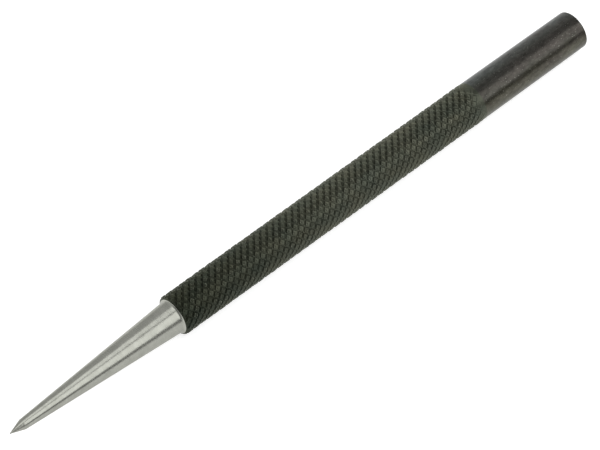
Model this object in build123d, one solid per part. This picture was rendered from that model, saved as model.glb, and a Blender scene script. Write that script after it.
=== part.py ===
from build123d import *
from build123d.topology import SkipClean
from math import cos, radians, sin, tan
import os

# A round centre punch turned from one bar of steel, lying on the teeth of its knurl.
#
# X runs along the punch, from the marking point to the striking end, and +Z is up. The
# origin is on the surface that the punch rests on, under the middle of its length.
# Stations along the punch are counted from the marking point.

# Driving dimensions, in millimetres and degrees.
overall_length = 125.0
grip_diameter = 7.25  # over the teeth of the knurl

point_angle = 37.0  # included angle of the marking point
point_length = 2.65
point_nose_radius = 0.06

taper_end = 33.6  # where the long taper runs into its fillet
taper_end_diameter = 5.77

shoulder_station = 34.05  # where the bright ground steel meets the blackened bar
shoulder_diameter = 6.35
rim_length = 0.55  # the rounded front rim of the grip
grip_strips = 22  # equal strips of its round wall, side by side round the axis

grip_end = 101.0
runout_length = 0.8  # where the knurl dies away into the head
head_front_diameter = 7.1
head_end_diameter = 6.96
head_edge_radius = 0.3

# Where the marking point's cone leaves its nose and where it meets the long taper.
half_angle = radians(point_angle / 2)
nose_station = point_nose_radius * (1 - sin(half_angle))
nose_radius = point_nose_radius * cos(half_angle)
point_base_radius = nose_radius + (point_length - nose_station) * tan(half_angle)

# The punch lies on the teeth of its grip, so its axis is one grip radius up.
grip_radius = grip_diameter / 2
shoulder_radius = shoulder_diameter / 2
head_front_radius = head_front_diameter / 2
head_end_radius = head_end_diameter / 2


def turned(outline):
    """Spin a closed half outline about the X axis."""
    return revolve(make_face(outline), Axis.X)


def laid_down(solid):
    """Move a solid from the X axis to where the punch lies on the ground."""
    return Pos(-overall_length / 2, 0, grip_radius) * solid


def tapered_point():
    """Marking point, long taper and the fillet at its root, all ground bright."""
    nose_tip = (0, 0)
    nose_end = (nose_station, nose_radius)
    point_base = (point_length, point_base_radius)
    taper_root = (taper_end, taper_end_diameter / 2)
    shoulder = (shoulder_station, shoulder_radius)
    taper_direction = (taper_root[0] - point_base[0], taper_root[1] - point_base[1])
    outline = TangentArc(nose_tip, nose_end, tangent=(0, 1))
    outline += Polyline(nose_end, point_base, taper_root)
    outline += TangentArc(taper_root, shoulder, tangent=taper_direction)
    outline += Polyline(shoulder, (shoulder_station, 0), nose_tip)
    return laid_down(turned(outline))


def knurled_grip():
    """Blackened grip at the size of its knurl's teeth, with a rounded rim and a run-out."""
    front = (shoulder_station, shoulder_radius)
    rim = (shoulder_station + rim_length, grip_radius)
    runout = (grip_end - runout_length, grip_radius)
    back = (grip_end, head_front_radius)
    outline = TangentArc(rim, front, tangent=(-1, 0))
    outline += Polyline(rim, runout, back, (grip_end, 0), (shoulder_station, 0), front)
    strip_angle = 360 / grip_strips
    strip = revolve(make_face(outline), Axis.X, strip_angle)
    with SkipClean():
        strips = Part() + [Rot(X=index * strip_angle) * strip for index in range(grip_strips)]
    return laid_down(strips)


def striking_head():
    """Smooth blackened head, a shade thinner towards its flat striking face."""
    front = (grip_end, head_front_radius)
    taper = (head_front_radius - head_end_radius) / (overall_length - grip_end)
    edge_station = overall_length - head_edge_radius
    edge_radius = head_end_radius + taper * head_edge_radius
    face_radius = head_end_radius - head_edge_radius
    edge = (edge_station, edge_radius)
    face = (overall_length, face_radius)
    outline = Polyline(face, (overall_length, 0), (grip_end, 0), front, edge)
    outline += TangentArc(edge, face, tangent=(1, -taper))
    return laid_down(turned(outline))


def write_parts():
    """Write each sub-part to its own STEP file."""
    os.makedirs("parts", exist_ok=True)
    export_step(tapered_point(), "parts/tapered_point.step")
    export_step(knurled_grip(), "parts/knurled_grip.step")
    export_step(striking_head(), "parts/striking_head.step")


write_parts()
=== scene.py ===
import math

import bmesh
import bpy
import numpy as np
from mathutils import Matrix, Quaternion, Vector


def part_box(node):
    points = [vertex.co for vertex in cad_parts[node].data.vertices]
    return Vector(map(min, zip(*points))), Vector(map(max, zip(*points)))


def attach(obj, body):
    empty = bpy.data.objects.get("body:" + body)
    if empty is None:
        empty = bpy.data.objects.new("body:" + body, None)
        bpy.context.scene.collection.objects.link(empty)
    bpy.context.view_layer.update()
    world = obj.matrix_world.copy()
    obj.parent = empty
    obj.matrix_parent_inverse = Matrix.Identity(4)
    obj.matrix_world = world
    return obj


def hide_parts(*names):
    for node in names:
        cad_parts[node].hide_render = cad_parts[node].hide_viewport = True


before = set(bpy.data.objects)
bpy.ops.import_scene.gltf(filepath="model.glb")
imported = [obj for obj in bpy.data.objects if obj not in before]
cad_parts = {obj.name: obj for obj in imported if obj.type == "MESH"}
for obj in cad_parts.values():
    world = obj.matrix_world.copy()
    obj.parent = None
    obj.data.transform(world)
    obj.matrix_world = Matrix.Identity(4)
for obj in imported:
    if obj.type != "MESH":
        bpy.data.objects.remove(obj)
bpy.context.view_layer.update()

# The punch lies along X with its point towards -X. Its pieces are turned about its axis,
# so every outline is a list of (x, radius) points in metres, in the frame of the CAD.
point_low, point_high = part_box("tapered_point")
grip_low, grip_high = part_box("knurled_grip")
head_low, head_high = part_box("striking_head")
axis_z = (grip_low.z + grip_high.z) / 2
tip_x = point_low.x
shoulder_x = grip_low.x
grip_end_x = grip_high.x
face_x = head_high.x
grip_radius = (grip_high.y - grip_low.y) / 2
shoulder_radius = (point_high.z - point_low.z) / 2
head_front_radius = (head_high.z - head_low.z) / 2

# Sizes that the boxes of the nodes don't tell.
nose_radius = 0.06e-3
point_half_angle = math.radians(18.5)
point_length = 2.65e-3
taper_end_x = shoulder_x - 0.45e-3
taper_end_radius = 2.885e-3
rim_length = 0.55e-3
head_end_radius = 3.48e-3
head_edge_radius = 0.3e-3
runout_length = 1.2e-3  # over which the teeth sink to the head
fade_length = 2.8e-3  # over which the grooves grow shallow and end

# The knurl: two crossing families of grooves. Widths are parts of the groove spacing, and
# the last three values are parts of the knurl's depth.
knurl_starts = 14
knurl_spacing = 1.4e-3
knurl_depth = 0.27e-3
valley_half_width = 0.03
groove_half_width = 0.20
lip_width = 0.05
tooth_dish = 0.28
left_hand_share = 0.58
tooth_unevenness = 0.22
tooth_seed = 7

# How finely the meshes are divided round the axis, on arcs and along straight stretches.
columns = 192
arc_steps = 12
nose_steps = 6
cone_steps = 12
taper_steps = 120
rim_steps = 8
head_steps = 80
face_steps = 10

# When the knurl is cut to length, points closer than the first of these are joined, and a
# cut closer to the shoulder than the second is the one that ends it.
join_distance = 1e-6
end_tolerance = 1e-9


def tangent_arc(start, direction, end, steps=arc_steps):
    """Points after start on the arc that leaves it in a direction and reaches end."""
    chord = (end[0] - start[0], end[1] - start[1])
    chord_length = math.hypot(*chord)
    heading = math.atan2(direction[1], direction[0])
    turn = math.atan2(chord[1], chord[0]) - heading
    points = []
    for step in range(1, steps + 1):
        part = turn * step / steps
        reach = chord_length * math.sin(part) / math.sin(turn)
        angle = heading + part
        points.append((start[0] + reach * math.cos(angle), start[1] + reach * math.sin(angle)))
    return points


def straight(start, end, steps):
    """Points after start on the line to end."""
    return [
        (start[0] + (end[0] - start[0]) * k / steps, start[1] + (end[1] - start[1]) * k / steps)
        for k in range(1, steps + 1)
    ]


def add_piece(name, mesh, node, material):
    """Put a finished mesh in the scene in place of its CAD node."""
    piece = bpy.data.objects.new(name, mesh)
    bpy.context.scene.collection.objects.link(piece)
    mesh.materials.append(material)
    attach(piece, "root")
    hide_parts(node)


def lathe(name, outline, sharp_angle):
    """A closed mesh turned from an outline whose first and last points are on the axis.

    Edges that bend by more than sharp_angle are kept sharp and the rest is shaded smooth.
    """
    angles = np.linspace(0, 2 * math.pi, columns, endpoint=False)
    ring = np.stack([np.zeros(columns), np.cos(angles), np.sin(angles)], axis=1)
    centre = np.array([0, 0, axis_z])
    inner = outline[1:-1]
    rows = [ring * radius + centre + np.array([x, 0, 0]) for x, radius in inner]
    tips = np.array([[outline[0][0], 0, axis_z], [outline[-1][0], 0, axis_z]])
    vertices = np.concatenate(rows + [tips])
    front_tip = len(vertices) - 2
    back_tip = len(vertices) - 1
    last_row = (len(inner) - 1) * columns
    faces = []
    for k in range(columns):
        after = (k + 1) % columns
        faces.append((front_tip, after, k))
        faces.append((back_tip, last_row + k, last_row + after))
        for row in range(len(inner) - 1):
            start = row * columns
            faces.append((start + k, start + after, start + columns + after, start + columns + k))
    mesh = bpy.data.meshes.new(name)
    mesh.from_pydata(vertices.tolist(), [], faces)
    mesh.shade_smooth()
    mesh.set_sharp_from_angle(angle=sharp_angle)
    return mesh


def point_outline():
    """Marking point with its tiny nose, the long taper and the fillet at its root."""
    nose_x = tip_x + nose_radius * (1 - math.sin(point_half_angle))
    nose_rim = nose_radius * math.cos(point_half_angle)
    base_x = tip_x + point_length
    base_radius = nose_rim + (base_x - nose_x) * math.tan(point_half_angle)
    taper = (taper_end_x - base_x, taper_end_radius - base_radius)
    outline = [(tip_x, 0)]
    outline += tangent_arc(outline[-1], (0, 1), (nose_x, nose_rim), nose_steps)
    outline += straight(outline[-1], (base_x, base_radius), cone_steps)
    outline += straight(outline[-1], (taper_end_x, taper_end_radius), taper_steps)
    outline += tangent_arc(outline[-1], taper, (shoulder_x, shoulder_radius))
    outline.append((shoulder_x, 0))
    return outline


def head_outline():
    """Plain head with a rounded edge round its striking face."""
    taper = (head_front_radius - head_end_radius) / (face_x - grip_end_x)
    edge_x = face_x - head_edge_radius
    edge = (edge_x, head_end_radius + taper * head_edge_radius)
    face = (face_x, head_end_radius - head_edge_radius)
    outline = [(grip_end_x, 0), (grip_end_x, head_front_radius)]
    outline += straight(outline[-1], edge, head_steps)
    outline += tangent_arc(outline[-1], (1, -taper), face)
    outline += straight(outline[-1], (face_x, 0), face_steps)
    return outline


def rim_radius(x):
    """Radius of the rounded front rim of the grip at x, and of its crests behind it."""
    rise = grip_radius - shoulder_radius
    arc_angle = 2 * math.atan2(rise, rim_length)
    arc_radius = rim_length / math.sin(arc_angle)
    ahead = np.clip(shoulder_x + rim_length - x, 0, rim_length)
    return grip_radius - arc_radius + np.sqrt(arc_radius**2 - ahead**2)


def smoothstep(low, high, value):
    """0 below low, 1 above high and a smooth rise between them."""
    part = np.clip((value - low) / (high - low), 0, 1)
    return part * part * (3 - 2 * part)


def groove_lines():
    """Mesh lines across one groove spacing, close together where the tooth's flank bends."""
    lip = groove_half_width + lip_width
    half = [0, valley_half_width, groove_half_width, lip, 0.5]
    return np.array(half + [1 - part for part in half[-2:0:-1]])


def knurl_mesh(name):
    """Diamond knurl: a mesh whose lines follow both families of grooves round the grip."""
    # Each vertex is where a line of one family crosses a line of the other. A row of the
    # mesh runs round the grip, and the next row is one line of the other family further on.
    lines = groove_lines()
    per_groove = len(lines)
    around = knurl_starts * per_groove
    reach = int(2 * (grip_end_x - shoulder_x) / knurl_spacing + 3) * per_groove
    first, second = np.meshgrid(np.arange(around), np.arange(-per_groove, reach))
    other = first - second

    def place(index):
        return index // per_groove + lines[index % per_groove]

    right_hand = place(first)
    left_hand = place(other)
    angle = math.pi * (right_hand + left_hand) / knurl_starts
    x = shoulder_x + knurl_spacing * (right_hand - left_hand) / 2
    ring = np.stack([x, grip_radius * np.cos(angle), grip_radius * np.sin(angle)], axis=-1)
    vertices = ring.reshape(-1, 3)
    rows = reach + per_groove
    faces = []
    for row in range(1, rows - 1):
        for k in range(around):
            after = (k + 1) % around
            start = row * around
            faces.append((start + k, start - around + k, start + after, start + around + after))
    mesh = bpy.data.meshes.new(name)
    mesh.from_pydata(vertices.tolist(), [], faces)
    cut_to_length(mesh)
    shape_teeth(mesh)
    return mesh


def cut_to_length(mesh):
    """Trim the knurl to the grip, add rings on its rounded rim and close both ends."""
    model = bmesh.new()
    model.from_mesh(mesh)
    rise = grip_radius - shoulder_radius
    crest = (shoulder_x + rim_length, 0)
    rings = tangent_arc(crest, (-1, 0), (shoulder_x, -rise), rim_steps)
    for x in [grip_end_x] + [ring[0] for ring in rings]:
        everything = model.verts[:] + model.edges[:] + model.faces[:]
        bmesh.ops.bisect_plane(
            model,
            geom=everything,
            dist=join_distance,
            plane_co=(x, 0, 0),
            plane_no=(1, 0, 0),
            clear_outer=x >= grip_end_x,
            clear_inner=x <= shoulder_x + end_tolerance,
        )
    loose = [v for v in model.verts if not v.link_faces]
    bmesh.ops.delete(model, geom=loose, context="VERTS")
    open_edges = [e for e in model.edges if e.is_boundary]
    bmesh.ops.holes_fill(model, edges=open_edges, sides=0)
    bmesh.ops.recalc_face_normals(model, faces=model.faces)
    model.to_mesh(mesh)
    model.free()


def shape_teeth(mesh):
    """Set every vertex's radius from its place between the grooves and along the grip."""
    count = len(mesh.vertices)
    flat = np.zeros(count * 3)
    mesh.vertices.foreach_get("co", flat)
    place = flat.reshape(-1, 3)
    x = place[:, 0]
    angle = np.arctan2(place[:, 2], place[:, 1])
    turns = knurl_starts * angle / (2 * math.pi)
    steps = (x - shoulder_x) / knurl_spacing
    right_hand = turns + steps
    left_hand = turns - steps
    to_right = np.abs(right_hand - np.round(right_hand))
    to_left = np.abs(left_hand - np.round(left_hand))
    tooth = np.minimum(flank_height(to_right), 1 - left_hand_share * (1 - flank_height(to_left)))
    inside = smoothstep(groove_half_width + lip_width, 0.5, np.minimum(to_right, to_left))
    tooth -= tooth_dish * inside
    tooth -= tooth_unevenness * uneven(right_hand, left_hand) * tooth
    runout = 1 - smoothstep(grip_end_x - runout_length, grip_end_x, x)
    fade = 1 - smoothstep(grip_end_x - fade_length, grip_end_x, x)
    crest = head_front_radius + (grip_radius - head_front_radius) * runout
    radius = np.minimum(crest - knurl_depth * fade * (1 - tooth), rim_radius(x))
    place[:, 1] = radius * np.cos(angle)
    place[:, 2] = axis_z + radius * np.sin(angle)
    mesh.vertices.foreach_set("co", place.reshape(-1))
    mesh.update()
    height = mesh.attributes.new("tooth", "FLOAT", "POINT")
    height.data.foreach_set("value", tooth.astype(np.float32))


def uneven(right_hand, left_hand):
    """A steady random share from 0 to 1 for the tooth that a point belongs to."""
    along = int(np.ptp(right_hand)) + 3
    shares = np.random.default_rng(tooth_seed).random((knurl_starts, 2 * along))
    first = np.floor(right_hand).astype(int)
    gap = first - np.floor(left_hand).astype(int)
    return shares[np.mod(first, knurl_starts), np.mod(gap, 2 * along)]


def flank_height(away):
    """Height at a distance from the middle of a groove: 0 in its valley, 1 from its lip on."""
    flank = (away - valley_half_width) / (groove_half_width - valley_half_width)
    return np.clip(flank, 0, 1)


class Recipe:
    """A node material that is built up one node at a time."""

    def __init__(self, name):
        self.material = bpy.data.materials.new(name)
        self.material.use_nodes = True
        self.tree = self.material.node_tree
        self.shader = self.tree.nodes["Principled BSDF"]
        coordinates = self.tree.nodes.new("ShaderNodeTexCoord")
        self.place = coordinates.outputs["Object"]
        self.across = self.node("ShaderNodeSeparateXYZ", {"Vector": self.place}).outputs

    def node(self, kind, inputs, **settings):
        """A new node with its settings made and its inputs set or linked."""
        made = self.tree.nodes.new(kind)
        for key, value in settings.items():
            setattr(made, key, value)
        self.fill(made, inputs)
        return made

    def fill(self, node, inputs):
        """Link each input that is given as a socket and set each that is given as a value."""
        for key, value in inputs.items():
            if isinstance(value, bpy.types.NodeSocket):
                self.tree.links.new(value, node.inputs[key])
            else:
                node.inputs[key].default_value = value

    def noise(self, cell, detail):
        """Noise whose cells are about as large as cell, in metres along X, Y and Z."""
        scale = tuple(1 / size for size in cell)
        stretched = self.node("ShaderNodeMapping", {"Vector": self.place, "Scale": scale})
        inputs = {"Vector": stretched.outputs["Vector"], "Scale": 1.0, "Detail": detail}
        return self.node("ShaderNodeTexNoise", inputs).outputs["Fac"]

    def spread(self, value, low, high, to_low, to_high):
        """Value carried from between low and high to between to_low and to_high, and held."""
        inputs = {
            "Value": value,
            "From Min": low,
            "From Max": high,
            "To Min": to_low,
            "To Max": to_high,
        }
        return self.node("ShaderNodeMapRange", inputs).outputs["Result"]

    def ramp(self, value, stops):
        """Colour ramp over (position, colour) stops."""
        made = self.node("ShaderNodeValToRGB", {"Fac": value})
        elements = made.color_ramp.elements
        while len(elements) < len(stops):
            elements.new(0.5)
        for element, (position, colour) in zip(elements, stops):
            element.position = position
            element.color = (*colour, 1)
        return made.outputs["Color"]

    def blend(self, factor, first, second):
        """First colour where factor is 0 and second where it is 1."""
        made = self.node("ShaderNodeMix", {"Factor": factor}, data_type="RGBA")
        # The mix node takes its colours at 6 and 7 and gives the blended one at 2.
        for index, value in ((6, first), (7, second)):
            if isinstance(value, bpy.types.NodeSocket):
                self.tree.links.new(value, made.inputs[index])
            else:
                made.inputs[index].default_value = (*value, 1)
        return made.outputs[2]

    def slant(self):
        """Y + Z of the place: low on the near lower side of the punch and high opposite it."""
        inputs = {0: self.place, 1: (0, 1, 1)}
        return self.node("ShaderNodeVectorMath", inputs, operation="DOT_PRODUCT").outputs["Value"]

    def times(self, first, second):
        """Product of two values."""
        made = self.node("ShaderNodeMath", {0: first, 1: second}, operation="MULTIPLY")
        return made.outputs["Value"]

    def scaled(self, colour, factor):
        """Colour made brighter or darker by a factor."""
        inputs = {"Vector": colour, "Scale": factor}
        made = self.node("ShaderNodeVectorMath", inputs, operation="SCALE")
        return made.outputs["Vector"]

    def bump(self, height, distance, under=None):
        """Normal bent by a height in parts of distance, on top of the one under it."""
        inputs = {"Height": height, "Distance": distance, "Strength": 1.0}
        if under:
            inputs["Normal"] = under
        return self.node("ShaderNodeBump", inputs).outputs["Normal"]

    def finish(self, colour, metallic, roughness, normal, edge_tint):
        """Hand the finished values to the shader. The tint colours what glances off."""
        inputs = {
            "Base Color": colour,
            "Metallic": metallic,
            "Roughness": roughness,
            "Normal": normal,
            "Specular Tint": (*edge_tint, 1),
        }
        self.fill(self.shader, inputs)


def ground_steel():
    """Bright ground steel with fine rings of grinding marks round it, and a painted highlight on
    the fillet at its root.
    """
    recipe = Recipe("ground_steel")
    rings = recipe.noise((0.10e-3, 3e-3, 3e-3), 4)
    mottle = recipe.noise((1.2e-3, 1.6e-3, 1.6e-3), 3)
    pits = recipe.noise((0.25e-3, 0.25e-3, 0.25e-3), 3)
    dull = (0.25, 0.254, 0.226)
    clean = (0.31, 0.314, 0.282)
    colour = recipe.ramp(mottle, [(0.25, dull), (0.75, clean)])
    # Painted highlight: the steel colour is made up to a quarter brighter across the fillet at
    # the shoulder.
    fillet = recipe.spread(recipe.across["X"], taper_end_x, shoulder_x, 1.0, 1.25)
    colour = recipe.scaled(colour, fillet)
    roughness = recipe.spread(rings, 0.3, 0.7, 0.18, 0.30)
    normal = recipe.bump(rings, 2.4e-6)
    normal = recipe.bump(mottle, 20e-6, normal)
    normal = recipe.bump(pits, 6e-6, normal)
    recipe.finish(colour, 1.0, roughness, normal, (0.80, 0.80, 0.78))
    return recipe.material


def blackened_knurl():
    """Black oxide, paler towards the head, with painted light making the far side paler, and
    rubbed on the teeth's lips.
    """
    recipe = Recipe("blackened_knurl")
    patches = recipe.noise((5e-3, 3e-3, 3e-3), 3)
    grain = recipe.noise((0.12e-3, 0.12e-3, 0.12e-3), 4)
    near_point = recipe.ramp(
        patches, [(0.3, (0.016, 0.0215, 0.0155)), (0.7, (0.028, 0.0305, 0.0195))]
    )
    near_head = recipe.ramp(patches, [(0.3, (0.050, 0.057, 0.044)), (0.7, (0.069, 0.070, 0.050))])
    middle_x = (shoulder_x + grip_end_x) / 2
    along = recipe.spread(recipe.across["X"], shoulder_x, middle_x, 0.0, 1.0)
    base = recipe.blend(along, near_point, near_head)
    reach = math.sqrt(2) * grip_radius
    # Painted light: the far upper side is made up to 30% paler, as if it were lit more.
    painted_far_side_light = recipe.spread(recipe.slant(), axis_z + 0.5 * reach, axis_z + 0.9 * reach, 1.0, 1.3)
    base = recipe.scaled(base, painted_far_side_light)
    tooth = recipe.node("ShaderNodeAttribute", {}, attribute_name="tooth").outputs["Fac"]
    crest = recipe.spread(tooth, 0.86, 0.98, 0.0, 1.0)
    rubbed = recipe.spread(grain, 0.56, 0.72, 0.0, 1.0)
    wear = recipe.times(crest, rubbed)
    colour = recipe.blend(wear, base, (0.26, 0.26, 0.21))
    roughness = recipe.spread(grain, 0.3, 0.7, 0.27, 0.40)
    normal = recipe.bump(grain, 4e-6)
    recipe.finish(colour, 0.85, roughness, normal, (0.72, 0.73, 0.68))
    return recipe.material


def blackened_head():
    """Smooth black oxide with reflection bands painted round it: olive low in front, brown above
    it and grey-blue behind.
    """
    recipe = Recipe("blackened_head")
    patches = recipe.noise((4e-3, 2.0e-3, 2.0e-3), 3)
    grain = recipe.noise((0.5e-3, 0.2e-3, 0.2e-3), 4)
    mottle = recipe.noise((1.1e-3, 0.6e-3, 0.6e-3), 4)
    specks = recipe.noise((0.22e-3, 0.22e-3, 0.22e-3), 2)
    reach = math.sqrt(2) * head_front_radius
    side = recipe.spread(recipe.slant(), axis_z - reach, axis_z + reach, 0.0, 1.0)
    drift = recipe.spread(patches, 0.0, 1.0, -0.07, 0.07)
    place = recipe.node("ShaderNodeMath", {0: side, 1: drift}, operation="ADD").outputs["Value"]
    # Painted light: this ramp round the side paints the reflections of the lamps, the floor and
    # the dark gap between them into the oxide's tint.
    oxide = recipe.ramp(
        place,
        [
            (0.15, (0.088, 0.088, 0.066)),
            (0.28, (0.078, 0.075, 0.058)),
            (0.39, (0.042, 0.041, 0.029)),
            (0.50, (0.057, 0.056, 0.048)),
            (0.62, (0.048, 0.045, 0.039)),
            (0.80, (0.057, 0.057, 0.050)),
            (0.88, (0.062, 0.067, 0.060)),
            (0.95, (0.095, 0.104, 0.098)),
        ],
    )
    rear = recipe.spread(recipe.across["X"], grip_end_x, grip_end_x + 12e-3, 0.1, 1.0)
    bloom = recipe.times(rear, recipe.spread(patches, 0.38, 0.66, 0.1, 0.65))
    oxide = recipe.blend(bloom, oxide, (0.062, 0.055, 0.050))
    shade = recipe.spread(mottle, 0.3, 0.7, 0.70, 1.20)
    oxide = recipe.scaled(oxide, shade)
    worn = recipe.spread(specks, 0.66, 0.74, 0.0, 0.8)
    colour = recipe.blend(worn, oxide, (0.25, 0.25, 0.22))
    roughness = recipe.spread(grain, 0.3, 0.7, 0.26, 0.36)
    normal = recipe.bump(grain, 2.5e-6)
    recipe.finish(colour, 0.93, roughness, normal, (0.85, 0.85, 0.85))
    return recipe.material


def pale_floor():
    """Matt pale sheet, faintly lit through like a light table."""
    recipe = Recipe("pale_floor")
    cloud = recipe.noise((0.2, 0.2, 0.2), 2)
    colour = recipe.ramp(cloud, [(0.3, (0.60, 0.60, 0.60)), (0.7, (0.62, 0.62, 0.62))])
    recipe.fill(
        recipe.shader,
        {
            "Base Color": colour,
            "Roughness": 0.8,
            "Emission Color": (1, 1, 1, 1),
            "Emission Strength": 0.68,
        },
    )
    return recipe.material


def add_floor():
    """A pale sheet on the ground, well past the picture on every side."""
    reach = 2.0
    corners = [(-reach, -reach, 0), (reach, -reach, 0), (reach, reach, 0), (-reach, reach, 0)]
    mesh = bpy.data.meshes.new("floor")
    mesh.from_pydata(corners, [], [(0, 1, 2, 3)])
    mesh.materials.append(pale_floor())
    floor = bpy.data.objects.new("floor", mesh)
    bpy.context.scene.collection.objects.link(floor)


def add_softbox(name, x, elevation, distance, length, width, radiance):
    """A soft panel facing the punch. elevation is counted in degrees from -Y towards +Z."""
    angle = math.radians(elevation)
    light = bpy.data.lights.new(name, "AREA")
    light.shape = "RECTANGLE"
    light.size = length
    light.size_y = width
    light.energy = radiance * math.pi * length * width
    panel = bpy.data.objects.new(name, light)
    away = Vector((0, -math.cos(angle), math.sin(angle)))
    panel.location = Vector((x, 0, axis_z)) + away * distance
    panel.rotation_euler = (math.pi / 2 - angle, 0, 0)
    panel.visible_camera = False
    bpy.context.scene.collection.objects.link(panel)


def add_world():
    """A dim studio with a paler wall on the +Y side. The camera sees it pale all round."""
    world = bpy.data.worlds.new("studio")
    world.use_nodes = True
    tree = world.node_tree
    background = tree.nodes["Background"]
    direction = tree.nodes.new("ShaderNodeTexCoord")
    parts = tree.nodes.new("ShaderNodeSeparateXYZ")
    wall = tree.nodes.new("ShaderNodeMapRange")
    path = tree.nodes.new("ShaderNodeLightPath")
    shown = tree.nodes.new("ShaderNodeMix")
    tree.links.new(direction.outputs["Generated"], parts.inputs["Vector"])
    tree.links.new(parts.outputs["Y"], wall.inputs["Value"])
    wall.inputs["From Min"].default_value = 0.25
    wall.inputs["From Max"].default_value = 0.45
    wall.inputs["To Min"].default_value = 0.37
    wall.inputs["To Max"].default_value = 0.80
    tree.links.new(path.outputs["Is Camera Ray"], shown.inputs["Factor"])
    tree.links.new(wall.outputs["Result"], shown.inputs["A"])
    shown.inputs["B"].default_value = 0.9
    tree.links.new(shown.outputs["Result"], background.inputs["Strength"])
    background.inputs["Color"].default_value = (1, 1, 1, 1)
    bpy.context.scene.world = world


def add_camera():
    """The camera looks down on the punch from the side of its point."""
    azimuth = math.radians(-42.6)
    elevation = math.radians(51.3)
    roll = math.radians(-0.02)
    distance = 0.6048
    target = Vector((-0.81e-3, 0, axis_z + 0.07e-3))
    back = Vector(
        (
            math.sin(azimuth) * math.cos(elevation),
            -math.cos(azimuth) * math.cos(elevation),
            math.sin(elevation),
        )
    )
    camera = bpy.data.cameras.new("camera")
    camera.lens = 222.1
    camera.sensor_width = 36
    camera.clip_start = 0.01
    viewer = bpy.data.objects.new("camera", camera)
    viewer.location = target + back * distance
    level = (-back).to_track_quat("-Z", "Y")
    viewer.rotation_euler = (level @ Quaternion((0, 0, 1), roll)).to_euler()
    bpy.context.scene.collection.objects.link(viewer)
    bpy.context.scene.camera = viewer


add_piece(
    "ground_point",
    lathe("ground_point", point_outline(), sharp_angle=math.radians(12)),
    "tapered_point",
    ground_steel(),
)
add_piece(
    "knurled_handle",
    knurl_mesh("knurled_handle"),
    "knurled_grip",
    blackened_knurl(),
)
add_piece(
    "plain_head",
    lathe("plain_head", head_outline(), sharp_angle=math.radians(30)),
    "striking_head",
    blackened_head(),
)

add_floor()
add_world()
add_softbox("key", x=0.22, elevation=48.5, distance=0.6, length=0.9, width=0.56, radiance=1.8)
add_softbox("overhead", x=-0.10, elevation=97, distance=0.6, length=0.6, width=0.34, radiance=1.7)
add_camera()
bpy.context.scene.view_settings.view_transform = "Standard"
